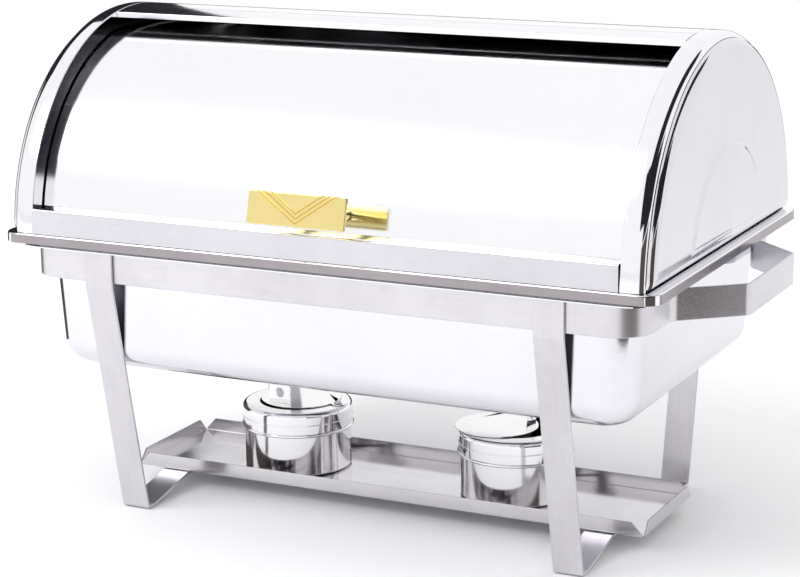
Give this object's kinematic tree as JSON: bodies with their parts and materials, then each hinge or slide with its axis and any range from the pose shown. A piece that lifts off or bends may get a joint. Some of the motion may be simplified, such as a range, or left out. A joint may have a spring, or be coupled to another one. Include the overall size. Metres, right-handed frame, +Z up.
{
  "type": "chafing dish",
  "caption": "Roll-top chafing dish: strap stand, water and food pans, burners on a shelf, and a domed lid whose front half rolls back.",
  "frame": {"origin": "on the table, under the centre of the whole object's footprint", "axes": "+X along the length, +Z up, -Y towards the side where the roll cover opens"},
  "size_m": [0.6422, 0.3738, 0.4155],
  "materials": {
    "polished_steel": "mirror-polished stainless steel",
    "satin_steel": "satin stainless strap",
    "pan_steel": "bright-rolled stainless pan",
    "gold": "polished gold-coloured plating"
  },
  "bodies": {
    "stand": {"stand_band": "satin_steel", "leg_left": "satin_steel", "leg_right": "satin_steel", "fuel_shelf": "polished_steel"},
    "water_pan": {"water_pan": "polished_steel"},
    "food_pan": {"food_pan": "pan_steel"},
    "lid": {"lid_base_frame": "polished_steel", "arch_band_left": "polished_steel", "arch_band_right": "polished_steel", "end_panel_left": "polished_steel", "end_panel_right": "polished_steel", "rear_cover": "polished_steel", "top_strip": "polished_steel", "front_rail": "polished_steel", "pivot_pin_left": "satin_steel", "pivot_pin_right": "satin_steel"},
    "roll_cover": {"roll_cover": "polished_steel", "cover_arm_left": "satin_steel", "cover_arm_right": "satin_steel", "handle_plate": "gold", "handle_post_left": "gold", "handle_post_right": "gold", "handle_screw_left": "satin_steel", "handle_screw_right": "satin_steel"},
    "burner_left": {"burner_can_left": "polished_steel"},
    "burner_cap_left": {"burner_cap_left": "polished_steel", "snuffer_rivet_left": "satin_steel"},
    "snuffer_left": {"snuffer_left": "polished_steel"},
    "burner_right": {"burner_can_right": "polished_steel"},
    "burner_cap_right": {"burner_cap_right": "polished_steel", "snuffer_rivet_right": "satin_steel"},
    "snuffer_right": {"snuffer_right": "polished_steel"}
  },
  "joints": [
    {"name": "water_pan_lift", "type": "slide", "parent": "stand", "child": "water_pan", "axis": [0, 0, 1], "range_m": [0, 0.11]},
    {"name": "food_pan_lift", "type": "slide", "parent": "water_pan", "child": "food_pan", "axis": [0, 0, 1], "range_m": [0, 0.08]},
    {"name": "lid_lift", "type": "slide", "parent": "food_pan", "child": "lid", "axis": [0, 0, 1], "range_m": [0, 0.06]},
    {"name": "cover_roll", "type": "hinge", "parent": "lid", "child": "roll_cover", "pos_m": [0, 0.00897, 0.241], "axis": [-1, 0, 0], "range_deg": [0, 62]},
    {"name": "burner_left_slide", "type": "slide", "parent": "stand", "child": "burner_left", "axis": [1, 0, 0], "range_m": [-0.055, 0.01]},
    {"name": "burner_left_cap_lift", "type": "slide", "parent": "burner_left", "child": "burner_cap_left", "axis": [0, 0, 1], "range_m": [0, 0.022]},
    {"name": "snuffer_left_turn", "type": "hinge", "parent": "burner_cap_left", "child": "snuffer_left", "pos_m": [-0.07, 0.01297, 0.0725], "axis": [0, 0, -1], "range_deg": [-8.6, 76.4]},
    {"name": "burner_right_slide", "type": "slide", "parent": "stand", "child": "burner_right", "axis": [1, 0, 0], "range_m": [-0.01, 0.065]},
    {"name": "burner_right_cap_lift", "type": "slide", "parent": "burner_right", "child": "burner_cap_right", "axis": [0, 0, 1], "range_m": [0, 0.022]},
    {"name": "snuffer_right_turn", "type": "hinge", "parent": "burner_cap_right", "child": "snuffer_right", "pos_m": [0.08046, 0.05092, 0.0725], "axis": [0, 0, -1], "range_deg": [-23, 62]}
  ]
}
